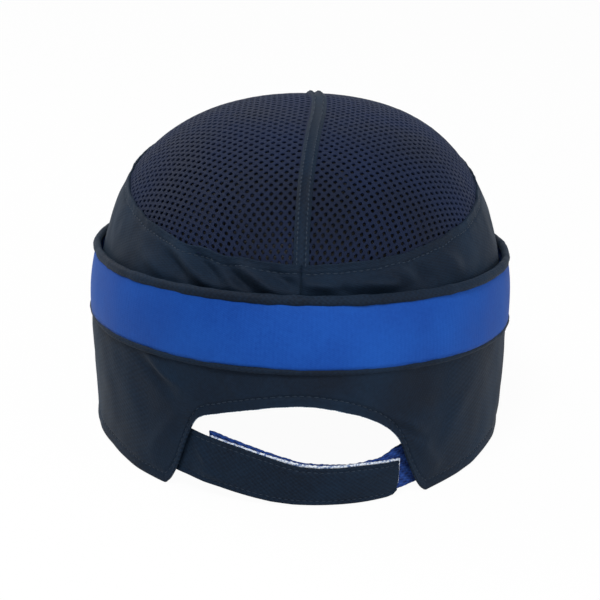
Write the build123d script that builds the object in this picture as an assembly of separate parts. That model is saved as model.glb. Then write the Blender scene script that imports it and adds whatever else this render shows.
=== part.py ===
from build123d import *
import os
from math import asin, atan2, cos, degrees, radians, sin

# Cloth-covered bump cap: a textile cover with a peak, and a ribbed plastic shell that lifts out of it.
# Millimetres. +Z is up, -Y is the way the wearer faces and +X is the wearer's left. The origin is
# the middle of the head oval, on the surface the cap stands on.

# Head form: every layer of the cap is this form, grown or shrunk by a lift
half_width = 92.5
half_length = 114.0
shoulder_z = 45.5          # the wall is widest here
crown_top_z = 146.5
fullness = 0.70            # how far the crown curve runs straight up, and straight across, before it turns
wall_draft = 0.03          # how far the wall draws in from the shoulder to the floor, as a share

# Lifts and thicknesses are as measured at the sides: the stretch from round to oval makes them
# a fifth larger at brow and nape

# Clearances
body_gap = 0.3             # between pieces that move past each other
seam_gap = 0.1             # between pieces that are sewn or glued together

# Cloth
cloth = 1.2
mesh = 3.0                 # spacer mesh of the crown
mesh_hem_z = 113.9         # height of the mesh hem at mid-length
mesh_hem_tilt = 5.4        # degrees, the hem drops towards the back
seam_tape_width = 6.6
seam_tape = 0.9
front_panel_half_width = 66.0

# Contrast band round the cap, between two pipings
band_low_z = 52.5          # band edges at mid-length
band_high_z = 78.2
band_tilt = 5.8            # degrees, the band climbs towards the back
band_stand = 4.2           # how far the band stands off the form
piping = 3.2
piping_stand = 0.5         # further out than the band

# Lower panel, with the arched opening at the back
skirt_stand = 3.2
rim_z = 3.65               # lower edge at mid-length
rim_tilt = 2.2             # degrees, the edge drops towards the back
arch_top_z = 48.0
arch_corner_z = 30.0
arch_corner_half = 45.5    # half the opening at its upper corners
arch_foot_half = 56.5      # half the opening at the floor
arch_corner_radius = 5.0

# Closing straps
strap_width = 19.0
strap_cloth = 1.0
hook_tape = 0.9
hook_tape_margin = 2.0     # strap left bare round the tape
loop_strap_thickness = 1.2
hook_hinge_x = 45.0        # where the hook strap comes out from under the panel
hook_tip_x = -44.0
hook_chamfer = 4.0
loop_hinge_x = -46.5
loop_tip_x = 38.0
strap_root_length = 13.0   # sewn under the panel
hook_line_z = (17.4, 10.8, 10.3)    # middle of the strap at its hinge, mid-length and tip
loop_line_z = (19.4, 10.4, 12.7)    # at its tip, mid-length and hinge

# Peak
peak_length = 70.0
peak_half_width = 79.0
peak_widest_y = -72.0
peak_rear_y = -63.0
peak_crest_z = 28.0        # top of the peak where it leaves the brow
peak_arch_radius = 140.0
peak_pitch = 8.0           # degrees, down towards the front
peak_board = 2.0
peak_cloth = 0.9
binding = 0.7
binding_reach = 5.0        # how far the binding laps over the peak

# Sweatband and brow pad
sweatband = 1.4
sweatband_top_z = 36.0
sweatband_rear_y = 68.0
brow_pad = 3.4
brow_pad_half_width = 56.0
brow_pad_margin = 5.0      # sweatband left flat above and below the pad

# Protective shell
shell_wall = 2.4
rib_height = 1.2
rib_width = 8.0
rib_pitch = 34.0           # from the middle rib to the side ribs
side_ease = 5.0            # form to the top of the ribs at the sides
edge_front_z = 46.0
edge_temple_z = 51.0
edge_ear_z = 66.0
edge_nape_z = 55.0
ear_y = 14.0               # ear cut-out, middle and half-length
ear_half_length = 46.0
vent_length = 19.0
vent_width = 6.5
vent_tiers = ((27.0, (38, 64, 90, 116, 142)), (52.0, (66, 90, 114)))   # climb, bearings from the nape
top_vents = 2              # each way from the middle
top_vent_pitch = 29.0
vent_depth = 50.0          # from the middle of the form to where the slots start

# Liner pads inside the shell
pad = 5.0
pad_margin = 9.0           # shell edge to the pads
pad_corner = 8.0
crown_pad_size = (64.0, 74.0)
end_pad_half_width = 50.0
end_pad_start = 46.0       # from the middle of the form
side_pad_half_length = 38.0
side_pad_start = 41.0

# Where the solids are split to be trimmed
reach = 260.0              # past every edge of the cap
brow_split_y = -44.0       # behind the peak's ends
nape_half_width = 66.0     # holds the closing straps and their roots


# ---- the form and the solids that trim it

form_height = crown_top_z - shoulder_z
stretch = half_length / half_width
floor_depth = 20.0         # how far below the floor the untrimmed wall runs


def half_outline(side, top):
    """Draw half the form's section, lifted at side and top, and return its two ends."""
    width = half_width + side
    height = form_height + top
    draft = wall_draft * (shoulder_z + floor_depth) / shoulder_z
    foot = (width * (1 - draft), -floor_depth)
    apex = (0, shoulder_z + height)
    shoulder = (width, shoulder_z)
    Line(foot, shoulder)
    Bezier(shoulder, (width, shoulder_z + fullness * height), (fullness * width, apex[1]), apex)
    return foot, apex


def stretched(outline):
    """Turn a half section into a round solid and stretch that to the head's oval."""
    return scale(revolve(make_face(Plane.XZ * outline), Axis.Z), by=(1, stretch, 1))


def layer(outer, inner, outer_top=None, inner_top=None):
    """Wall and crown between two lifts off the form, which may differ at the top."""
    with BuildLine() as outline:
        outer_foot, outer_apex = half_outline(outer, outer if outer_top is None else outer_top)
        inner_foot, inner_apex = half_outline(inner, inner if inner_top is None else inner_top)
        Line(outer_apex, inner_apex)
        Line(outer_foot, inner_foot)
    return stretched(outline.line)


def core(lift):
    """The form as a full solid, at a lift."""
    with BuildLine() as outline:
        foot, apex = half_outline(lift, lift)
        Polyline(apex, (0, -floor_depth), foot)
    return stretched(outline.line)


def above(z, climb=0.0):
    """Everything over a plane at height z at mid-length that climbs by some degrees to the back."""
    return Pos(0, 0, z) * Rot(climb, 0, 0) * Pos(0, 0, reach / 2) * Box(2 * reach, 2 * reach, reach)


def below(z, climb=0.0):
    return Pos(0, 0, z) * Rot(climb, 0, 0) * Pos(0, 0, -reach / 2) * Box(2 * reach, 2 * reach, reach)


def behind(y):
    return Pos(0, y + reach / 2, 0) * Box(2 * reach, reach, 2 * reach)


def ahead(y):
    return Pos(0, y - reach / 2, 0) * Box(2 * reach, reach, 2 * reach)


def between(low, high):
    """Everything between two upright planes across the cap."""
    return Pos((low + high) / 2, 0, 0) * Box(high - low, 2 * reach, 2 * reach)


def write(node, solid):
    solid.label = node
    export_step(solid, f"parts/{node}.step")


def largest(shape):
    """The biggest solid of a cut shape, without the crumbs that a slanting cut can leave."""
    return max(shape.solids(), key=lambda piece: piece.volume)


def left_half(shape):
    return shape & between(0, reach)


def both_sides(half):
    """A left half and its mirror image as one solid."""
    return largest(half + mirror(half, about=Plane.YZ))


# ---- crown: two mesh halves, the tape over their seam, and three cloth panels round them

def crown():
    hem = above(mesh_hem_z + seam_gap, -mesh_hem_tilt)
    left = between(seam_gap / 2, reach)
    half = layer(0, -mesh) & hem & left
    write("crown_mesh_left", half)
    write("crown_mesh_right", mirror(half, about=Plane.YZ))
    tape = between(-seam_tape_width / 2, seam_tape_width / 2)
    write("crown_seam_tape", layer(seam_gap + seam_tape, seam_gap) & hem & tape)

    foot = band_high_z + seam_gap
    wall = layer(0, -cloth) & below(mesh_hem_z, -mesh_hem_tilt) & above(foot, band_tilt)
    front = between(-front_panel_half_width, front_panel_half_width)
    write("front_panel", wall & front & ahead(0))
    yoke = (wall & left) - (between(-reach, front_panel_half_width + seam_gap) & ahead(seam_gap))
    write("yoke_left", yoke)
    write("yoke_right", mirror(yoke, about=Plane.YZ))


# ---- contrast band and its two pipings

def contrast_band():
    step = piping / cos(radians(band_tilt))
    rings = (("contrast_band", band_stand, band_stand - cloth, band_low_z, band_high_z),
             ("piping_upper", band_stand + piping_stand, seam_gap,
              band_high_z + seam_gap, band_high_z + step),
             ("piping_lower", band_stand + piping_stand, skirt_stand - cloth / 2,
              band_low_z - step, band_low_z - seam_gap))
    for node, outer, inner, low, high in rings:
        write(node, layer(outer, inner) & above(low, band_tilt) & below(high, band_tilt))


# ---- peak: an arched board between two cloth covers, with a binding folded round its edge

def barrel(radius):
    """A cylinder that lies along the peak, pitched down to the front. Its top carries the peak."""
    centre = Pos(0, -half_length, peak_crest_z) * Rot(peak_pitch, 0, 0) * Pos(0, 0, -peak_arch_radius)
    return centre * Pos(0, -peak_length / 2, 0) * Rot(90, 0, 0) * Cylinder(radius, 4 * peak_length)


def peak_plan(grow):
    """Upright prism over the peak's plan, which runs on under the cap."""
    half = half_length + peak_length + peak_widest_y
    plan = Pos(0, peak_widest_y) * Ellipse(peak_half_width + grow, half + grow)
    return Pos(0, 0, -reach / 2) * extrude(plan, reach)


def peak():
    radii = [peak_arch_radius]
    for thickness in (peak_cloth, peak_board, peak_cloth):
        radii.append(radii[-1] - thickness)
    head = left_half(core(skirt_stand - cloth) & below(shoulder_z)) & ahead(brow_split_y)
    region = (left_half(peak_plan(0)) & ahead(peak_rear_y)) - head
    names = ("peak_top_cover", "peak_board", "peak_bottom_cover")
    for name, outer, inner in zip(names, radii, radii[1:]):
        write(name, both_sides((region & barrel(outer)) - barrel(inner + seam_gap / 2)))
    top, bottom = radii[0], radii[-1]
    panel = left_half(core(skirt_stand + binding) & below(shoulder_z)) & ahead(brow_split_y)
    rim = (left_half(peak_plan(binding)) & ahead(peak_rear_y)) - peak_plan(-binding_reach) - panel
    skin = (rim & barrel(top + binding)) - barrel(bottom - binding)
    filling = (peak_plan(seam_gap) & barrel(top + seam_gap)) - barrel(bottom - seam_gap)
    write("peak_binding", both_sides(skin - filling))


def seated_on_peak(ring, radius):
    """The front of a ring round the head, with its lower edge trimmed to the peak's arch."""
    return (ring & ahead(brow_split_y)) - barrel(radius)


# ---- lower panel with the arched opening, and the closing straps that come out from under it

def arch_opening():
    """Upright prism through the nape with the opening's outline, seen from behind."""
    with BuildLine() as outline:
        over = ThreePointArc((-arch_corner_half, arch_corner_z), (0, arch_top_z),
                             (arch_corner_half, arch_corner_z))
        Polyline(over @ 1, (arch_foot_half, 0), (arch_foot_half, -floor_depth),
                 (-arch_foot_half, -floor_depth), (-arch_foot_half, 0), over @ 0)
    face = make_face(outline.line)
    corners = [corner for corner in face.vertices() if abs(corner.Y - arch_corner_z) < 1]
    return extrude(Plane.XZ * fillet(corners, arch_corner_radius), -reach)


def lower_panel():
    step = (piping + seam_gap) / cos(radians(band_tilt))
    ring = layer(skirt_stand, skirt_stand - cloth) & below(band_low_z - step, band_tilt)
    ring = ring & above(rim_z, -rim_tilt)
    rear = (ring & behind(brow_split_y)) - arch_opening()
    write("lower_panel", largest(seated_on_peak(ring, peak_arch_radius + seam_gap) + rear))


def strap_blade(ends_x, line_z, width):
    """Prism through the nape with a strap's outline: a shallow curve of even width."""
    first, last = ends_x
    points = [(first, line_z[0]), ((first + last) / 2, line_z[1]), (last, line_z[2])]
    return extrude(Plane.XZ * trace(ThreePointArc(*points), width), -reach)


def beyond(x, toward):
    """Everything past an upright cut square to the nape's wall at x, on the side of a sign."""
    turn = asin(x / half_width)
    square = degrees(atan2(-sin(turn) / half_width, cos(turn) / half_length))
    cut = Pos(x, half_length * cos(turn), 0) * Rot(0, 0, square)
    return cut * Pos(toward * reach / 2, 0, 0) * Box(reach, 2 * reach, 2 * reach)


def nape_wall(outer, inner):
    """A layer's stretch across the nape, wide enough for the straps and their sewn ends."""
    return layer(outer, inner) & between(-nape_half_width, nape_half_width) & behind(arch_foot_half)


def straps():
    outer = skirt_stand - cloth - body_gap
    taped = outer - strap_cloth
    loop_outer = taped - hook_tape - body_gap
    loop_inner = loop_outer - loop_strap_thickness
    hook_ends = (hook_hinge_x, hook_tip_x)
    loop_ends = (loop_tip_x, loop_hinge_x)
    floor = above(rim_z, -rim_tilt)

    skin = nape_wall(outer, taped)
    hook = skin & beyond(hook_hinge_x - body_gap, -1) & beyond(hook_tip_x, 1)
    hook = hook & strap_blade(hook_ends, hook_line_z, strap_width)
    corner = Pos(hook_tip_x, 0, hook_line_z[2] - strap_width / 2) * Rot(0, 45, 0)
    write("hook_strap", largest(hook - corner * Box(hook_chamfer, 2 * reach, hook_chamfer)))

    tape = nape_wall(taped - seam_gap, taped - hook_tape)
    tape = tape & beyond(loop_tip_x, -1) & beyond(hook_tip_x + hook_tape_margin, 1)
    tape = tape & strap_blade(hook_ends, hook_line_z, strap_width - 2 * hook_tape_margin)
    write("hook_tape", largest(tape))

    root = skin & beyond(hook_hinge_x + body_gap, 1) & floor
    root_ends = (hook_hinge_x + strap_root_length, hook_tip_x)
    write("hook_strap_root", largest(root & strap_blade(root_ends, hook_line_z, strap_width)))

    loop = nape_wall(loop_outer, loop_inner) & beyond(loop_hinge_x + body_gap, 1)
    loop = loop & beyond(loop_tip_x, -1) & strap_blade(loop_ends, loop_line_z, strap_width)
    write("loop_strap", largest(loop))

    root = nape_wall(outer, loop_inner) & beyond(loop_hinge_x - body_gap, -1) & floor
    root_ends = (loop_tip_x, loop_hinge_x - strap_root_length)
    write("loop_strap_root", largest(root & strap_blade(root_ends, loop_line_z, strap_width)))


# ---- sweatband sewn round the inside of the edge, and the foam pad behind it at the brow

def brow():
    outer = skirt_stand - cloth - seam_gap
    inner = outer - sweatband
    underside = peak_arch_radius - 2 * peak_cloth - peak_board
    rise = degrees(atan2(peak_crest_z - rim_z, 2 * half_length))
    ring = layer(outer, inner) & above(rim_z, -rim_tilt) & ahead(sweatband_rear_y)
    ring = ring & below(sweatband_top_z, -rise)
    rear = ring & behind(brow_split_y)
    write("sweatband", largest(seated_on_peak(ring, underside) + rear))

    block = layer(inner - seam_gap, inner - seam_gap - brow_pad) & ahead(brow_split_y)
    block = block & between(-brow_pad_half_width, brow_pad_half_width)
    block = block & below(sweatband_top_z - brow_pad_margin, -rise)
    write("brow_pad", largest(block - barrel(underside + brow_pad_margin)))


# ---- protective shell: ridged dome with vents and ear cut-outs

def edge_prism(rise):
    """Everything below the shell's edge, which dips at brow and nape and clears the ears."""
    far = half_length * 1.2
    points = ((-far, edge_front_z), (ear_y - ear_half_length, edge_temple_z), (ear_y, edge_ear_z),
              (ear_y + ear_half_length, edge_nape_z), (far, edge_nape_z))
    with BuildLine() as outline:
        edge = Spline([(y, z + rise) for y, z in points], tangents=((1, 0), (1, 0)))
        Polyline(edge @ 1, (far, -floor_depth), (-far, -floor_depth), edge @ 0)
    return extrude(Plane.YZ * make_face(outline.line), reach, both=True)


def vents():
    """Slots through the shell: two tiers that run down the slope, and rows between the ribs on top."""
    slot = SlotOverall(vent_length, vent_width)
    cutters = []
    for climb, bearings in vent_tiers:
        for bearing in bearings:
            for side in (-1, 1):
                aim = Pos(0, 0, shoulder_z) * Rot(0, 0, 90 - side * bearing) * Rot(0, 90 - climb, 0)
                cutters.append(aim * Pos(0, 0, vent_depth) * extrude(slot, reach))
    for row in range(-top_vents, top_vents + 1):
        for side in (-1, 1):
            place = Pos(side * rib_pitch / 2, row * top_vent_pitch, shoulder_z + vent_depth)
            cutters.append(place * extrude(Rot(0, 0, 90) * slot, reach))
    return cutters


def shell():
    side, top = -side_ease, -mesh - body_gap
    low_side, low_top = side - rib_height, top - rib_height
    inner_side, inner_top = low_side - shell_wall, low_top - shell_wall
    ribbed = layer(side, inner_side, top, inner_top)
    plain = layer(low_side, inner_side, low_top, inner_top)
    trim = edge_prism(0)
    slots = vents()
    edges = [-reach]
    for rib in (-rib_pitch, 0.0, rib_pitch):
        edges += [rib - rib_width / 2, rib + rib_width / 2]
    edges.append(reach)
    dome = None
    for place, (near, far) in enumerate(zip(edges, edges[1:])):
        strip = (ribbed if place % 2 else plain) & between(near, far) & above(edge_front_z - shell_wall)
        strip = strip - trim - slots
        dome = strip if dome is None else dome + strip
    write("hard_shell", largest(dome))
    liner_pads(inner_side - seam_gap, inner_top - seam_gap)


def pad_prism(width, length, x, y):
    plan = chamfer(Rectangle(width, length).vertices(), pad_corner)
    return extrude(Pos(x, y) * plan, reach)


def liner_pads(side, top):
    """Foam pads glued inside the shell, with air channels between them."""
    liner = layer(side, side - pad, top, top - pad)
    trim = edge_prism(pad_margin)
    write("crown_pad", liner & pad_prism(*crown_pad_size, 0, 0))
    depth = half_length - end_pad_start
    for node, sign in (("front_pad", -1), ("rear_pad", 1)):
        middle = sign * (end_pad_start + depth / 2)
        write(node, (liner & pad_prism(2 * end_pad_half_width, depth, 0, middle)) - trim)
    depth = half_width - side_pad_start
    for node, sign in (("left_pad", 1), ("right_pad", -1)):
        middle = sign * (side_pad_start + depth / 2)
        write(node, (liner & pad_prism(depth, 2 * side_pad_half_length, middle, 0)) - trim)


os.makedirs("parts", exist_ok=True)
crown()
contrast_band()
peak()
lower_panel()
straps()
brow()
shell()
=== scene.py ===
import math
import bmesh
import bpy
from mathutils import Matrix, Vector, noise


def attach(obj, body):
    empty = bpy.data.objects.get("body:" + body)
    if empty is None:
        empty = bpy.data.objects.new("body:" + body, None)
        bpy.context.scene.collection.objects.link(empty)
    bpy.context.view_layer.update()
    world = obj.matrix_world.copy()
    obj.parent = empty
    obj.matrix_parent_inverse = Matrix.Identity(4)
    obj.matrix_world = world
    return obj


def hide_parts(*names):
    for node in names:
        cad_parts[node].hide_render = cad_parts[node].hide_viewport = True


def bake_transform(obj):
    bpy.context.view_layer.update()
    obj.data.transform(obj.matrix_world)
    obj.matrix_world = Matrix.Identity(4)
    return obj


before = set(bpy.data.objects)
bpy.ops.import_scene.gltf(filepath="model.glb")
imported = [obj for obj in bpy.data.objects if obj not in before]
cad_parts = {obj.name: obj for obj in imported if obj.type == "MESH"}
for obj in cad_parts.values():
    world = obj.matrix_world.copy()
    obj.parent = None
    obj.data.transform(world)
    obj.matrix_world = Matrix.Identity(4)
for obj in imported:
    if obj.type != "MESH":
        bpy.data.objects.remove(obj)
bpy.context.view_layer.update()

# ---- Protective shell
# An injection-moulded thermoplastic dome with ribs and vents that sits loose inside the cloth.
# It is taken from the mould black, with a fine spark finish that scuffs paler along its ribs.

MM = 0.001
SHEEN_ROUGHNESS = 0.45


def new_material(name, roughness, sheen=0.0, sheen_tint=(1, 1, 1, 1), gloss=0.35):
    """A material with its shader's plain values set, and its nodes, links and shader."""
    material = bpy.data.materials.new(name)
    material.use_nodes = True
    nodes, links = material.node_tree.nodes, material.node_tree.links
    shader = nodes["Principled BSDF"]
    shader.inputs["Roughness"].default_value = roughness
    shader.inputs["Specular IOR Level"].default_value = gloss
    shader.inputs["Sheen Weight"].default_value = sheen
    shader.inputs["Sheen Roughness"].default_value = SHEEN_ROUGHNESS
    shader.inputs["Sheen Tint"].default_value = sheen_tint
    return material, nodes, links, shader


def texture(nodes, links, kind, vector, scale, detail=2.0):
    """A procedural texture over a vector in metres, so its scale is in features per metre."""
    node = nodes.new(kind)
    node.inputs["Scale"].default_value = scale
    if "Detail" in node.inputs:
        node.inputs["Detail"].default_value = detail
    links.new(vector, node.inputs["Vector"])
    return node


def ramp(nodes, links, value, stops):
    """Colours over a value, from two (position, colour) stops."""
    node = nodes.new("ShaderNodeValToRGB")
    for element, (position, colour) in zip(node.color_ramp.elements, stops):
        element.position = position
        element.color = (*colour, 1)
    links.new(value, node.inputs["Fac"])
    return node.outputs["Color"]


def bump(nodes, links, height, strength, distance, shader):
    """Fine relief on a shader, from a height of 0 to 1 over a distance in metres."""
    node = nodes.new("ShaderNodeBump")
    node.inputs["Strength"].default_value = strength
    node.inputs["Distance"].default_value = distance
    links.new(height, node.inputs["Height"])
    links.new(node.outputs["Normal"], shader.inputs["Normal"])


def moulded_plastic():
    """Black plastic with a spark finish that is duller where it has been handled."""
    material, nodes, links, shader = new_material("moulded_plastic", 0.5)
    place = nodes.new("ShaderNodeTexCoord").outputs["Object"]
    cloud = texture(nodes, links, "ShaderNodeTexNoise", place, 45.0, 4.0)
    spark = texture(nodes, links, "ShaderNodeTexNoise", place, 1800.0)
    tone = ramp(nodes, links, cloud.outputs["Fac"],
                ((0.35, (0.010, 0.011, 0.014)), (0.7, (0.020, 0.022, 0.027))))
    shine = ramp(nodes, links, cloud.outputs["Fac"], ((0.3, (0.42,) * 3), (0.7, (0.6,) * 3)))
    links.new(tone, shader.inputs["Base Color"])
    links.new(shine, shader.inputs["Roughness"])
    bump(nodes, links, spark.outputs["Fac"], 0.35, 0.15 * MM, shader)
    return material


def assign(piece, material):
    """Give a solid one material all over."""
    if piece.material_slots:
        for entry in piece.material_slots:
            entry.material = material
    else:
        piece.data.materials.append(material)


assign(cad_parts["hard_shell"], moulded_plastic())


# ---- Liner pads
# Closed-cell foam blocks, die-cut and glued to the inside of the shell with air channels between.
# Each is crowned, with edges that the cutting has rounded over.

PAD_VOXEL = 2.2 * MM
PAD_ROUNDS, PAD_SOFTENING = 14, 0.5       # rounds of smoothing, and how far each one goes
WELD = 0.01 * MM


def foam():
    """Charcoal foam, uneven in tone, with its cells as relief."""
    material, nodes, links, shader = new_material("closed_cell_foam", 0.9, 0.15)
    place = nodes.new("ShaderNodeTexCoord").outputs["Object"]
    cells = texture(nodes, links, "ShaderNodeTexVoronoi", place, 900.0)
    cloud = texture(nodes, links, "ShaderNodeTexNoise", place, 60.0, 5.0)
    tone = ramp(nodes, links, cloud.outputs["Fac"],
                ((0.3, (0.028, 0.029, 0.032)), (0.72, (0.052, 0.053, 0.057))))
    links.new(tone, shader.inputs["Base Color"])
    bump(nodes, links, cells.outputs["Distance"], 0.5, 0.4 * MM, shader)
    return material


def new_piece(name, mesh, material, body, nodes):
    """An object for a mesh, which rides on a body, if one is named, and stands for some solids."""
    piece = bpy.data.objects.new(name, mesh)
    bpy.context.scene.collection.objects.link(piece)
    piece.data.materials.append(material)
    for face in mesh.polygons:
        face.use_smooth = True
    if body:
        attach(piece, body)
    if nodes:
        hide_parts(*nodes)
    return piece


def finished(shape, name):
    """A mesh from a shape that needs no more work."""
    mesh = bpy.data.meshes.new(name)
    shape.to_mesh(mesh)
    shape.free()
    return mesh


def rounded_copy(node, name):
    """A mesh of a solid with every edge softened."""
    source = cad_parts[node]
    shell = bmesh.new()
    shell.from_mesh(source.data)
    bmesh.ops.remove_doubles(shell, verts=shell.verts, dist=WELD)
    mesh = finished(shell, name)
    block = bpy.data.objects.new(name + "_block", mesh)
    bpy.context.scene.collection.objects.link(block)
    remesh = block.modifiers.new("even", "REMESH")
    remesh.mode = "VOXEL"
    remesh.voxel_size = PAD_VOXEL
    soften = block.modifiers.new("soften", "SMOOTH")
    soften.factor = PAD_SOFTENING
    soften.iterations = PAD_ROUNDS
    graph = bpy.context.evaluated_depsgraph_get()
    rounded = bpy.data.meshes.new_from_object(block.evaluated_get(graph))
    rounded.name = name
    bpy.data.objects.remove(block)
    bpy.data.meshes.remove(mesh)
    rounded.materials.clear()
    return rounded


foam_material = foam()
for side in ("crown", "front", "rear", "left", "right"):
    pad_mesh = rounded_copy(f"{side}_pad", f"{side}_foam_pad")
    pad = new_piece(f"{side}_foam_pad", pad_mesh, foam_material, "insert", [f"{side}_pad"])


# ---- Sweatband
# Brushed towelling folded over a soft core and sewn round the inside of the lower edge.
# It stops short of the closing straps at the back.

HALF_WIDTH, HALF_LENGTH = 92.5, 114.0     # the head form, in mm like every length that follows
SHOULDER, CROWN_TOP = 45.5, 146.5         # heights where its wall curves in, and of its top
SIDE_POWER, END_POWER = 2.65, 2.45        # fullness of its curve at the sides and the ends
WALL_DRAFT = 0.03                         # share by which the wall draws in to its foot
POLE_STOP = 0.9999                        # keeps the sides of the curve apart at its top
BEARING_STEP, HEIGHT_STEP = 0.004, 0.3    # apart enough to read the form's slope
CROSSING_ROUNDS = 8
STRETCH = HALF_LENGTH / HALF_WIDTH - 1
RIM = (3.65, -2.2)                        # lower edge: height at mid-length, degrees up to the back
PEAK_CREST, PEAK_PITCH, PEAK_RADIUS = 28.0, 8.0, 140.0
PEAK_HALF, PEAK_WIDEST, PEAK_LENGTH = 79.0, -72.0, 70.0
PEAK_THICKNESS = 3.8
PEAK_END, PEAK_END_RUN = -56.0, 8.0       # where the edge drops back to the rim behind the peak
BAND_TOP = (36.0, -6.1)                   # the sweatband's upper edge: height and degrees
BAND_REAR = 68.0                          # how far back it runs
SKIRT, CLOTH = 3.2, 1.2                   # lift of the lower panel, and its thickness
SWEATBAND = 1.4
TOWEL_SEAT, TOWEL_CLEAR = 0.5, 0.2        # above the edge, and inside the panel
TOWEL_FOLD, TOWEL_RUFFLE = 0.35, (14.0, 0.1)
SEAM_WELD = 0.02


def on_form(bearing, z):
    """Point of the head form at a height and a bearing, from the nape round to the wearer's left."""
    power = SIDE_POWER + (END_POWER - SIDE_POWER) * math.cos(bearing) ** 2
    rise = min(max((z - SHOULDER) / (CROWN_TOP - SHOULDER), 0.0), POLE_STOP)
    share = (1 - rise ** power) ** (1 / power)
    share *= 1 - WALL_DRAFT * max(SHOULDER - z, 0.0) / SHOULDER
    return Vector((HALF_WIDTH * share * math.sin(bearing), HALF_LENGTH * share * math.cos(bearing), z))


def lifted(bearing, z, lift):
    """That point moved out square to the form, and further at the ends than at the sides."""
    across = on_form(bearing + BEARING_STEP, z) - on_form(bearing - BEARING_STEP, z)
    up = on_form(bearing, z + HEIGHT_STEP) - on_form(bearing, z - HEIGHT_STEP)
    out = up.cross(across).normalized()
    return on_form(bearing, z) + out * lift * (1 + STRETCH * math.cos(bearing) ** 2)


def crossing(bearing, plane):
    """Height at which a plane that climbs to the back crosses the form at a bearing."""
    height, tilt = plane
    z = height
    for _ in range(CROSSING_ROUNDS):
        z = height + math.tan(math.radians(tilt)) * on_form(bearing, z).y
    return z


def peak_height(x, y, drop=0.0):
    """Height of the arched peak's top, or of a layer some way under it."""
    radius = PEAK_RADIUS - drop
    arch = radius - math.sqrt(radius ** 2 - min(abs(x), PEAK_HALF) ** 2)
    return PEAK_CREST - drop + math.tan(math.radians(PEAK_PITCH)) * (y + HALF_LENGTH) - arch


def clipped(value):
    """A value kept between 0 and 1."""
    return min(max(value, 0.0), 1.0)


def front_edge(bearing, drop):
    """Lower edge of a ring round the head: the rim, or where the ring sits on the peak."""
    point = on_form(bearing, RIM[0])
    low = crossing(bearing, RIM)
    seated = clipped((PEAK_END - point.y) / PEAK_END_RUN)
    return low + max(peak_height(point.x, point.y, drop) - low, 0.0) * seated


def shaped_grid(name, columns, rows, place, size, joined=False, middle=40.0):
    """A patch of cloth: a flat grid whose points move to place(u, w), with a UV map in metres.

    joined welds its two ends. Its front faces away from a height in the middle of the cap.
    """
    patch = bmesh.new()
    bmesh.ops.create_grid(patch, x_segments=columns, y_segments=rows, size=0.5)
    uv = patch.loops.layers.uv.new("cloth")
    for face in patch.faces:
        for loop in face.loops:
            flat = loop.vert.co
            loop[uv].uv = ((flat.x + 0.5) * size[0] * MM, (flat.y + 0.5) * size[1] * MM)
    for vert in patch.verts:
        vert.co = place(vert.co.x + 0.5, vert.co.y + 0.5) * MM
    if joined:
        bmesh.ops.remove_doubles(patch, verts=patch.verts, dist=SEAM_WELD * MM)
    patch.normal_update()
    heart = Vector((0, 0, middle * MM))
    outward = sum(face.normal.dot(face.calc_center_median() - heart) for face in patch.faces)
    if outward < 0:
        bmesh.ops.reverse_faces(patch, faces=patch.faces)
    return finished(patch, name)


def thicken(piece, wall, levels=0):
    """Give cloth a thickness in mm, inwards, after rounding its grid if levels are named."""
    if levels:
        finer = piece.modifiers.new("finer", "SUBSURF")
        finer.levels = finer.render_levels = levels
    solid = piece.modifiers.new("wall", "SOLIDIFY")
    solid.thickness = wall * MM
    solid.offset = -1.0


def cloth(name, nodes, grid, place, size, material, wall, body="cover",
          joined=False, middle=40.0):
    """A sheet of cloth that stands for some solids, on a grid of (columns, rows)."""
    mesh = shaped_grid(name, *grid, place, size, joined, middle)
    piece = new_piece(name, mesh, material, body, nodes)
    thicken(piece, wall)
    return piece


def ruffle(point, *layers):
    """Slow unevenness of cloth at a point, from layers of (size, depth)."""
    return sum(depth * noise.noise(point / size) for size, depth in layers)


PICKS_PER_RIB = 2.3                       # threads across for each rib of the weave
CHECK_DEPTH, RIB_DEPTH = 0.3, 0.2         # of the crossing threads, and of the ribs
WEAR_SHARE, FUZZ_SHARE = 1.3, 0.6         # how much wear and fuzz turn the colour
DULLNESS, DULL_SPREAD = 0.72, 0.3         # roughness, and how far wear changes it


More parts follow.
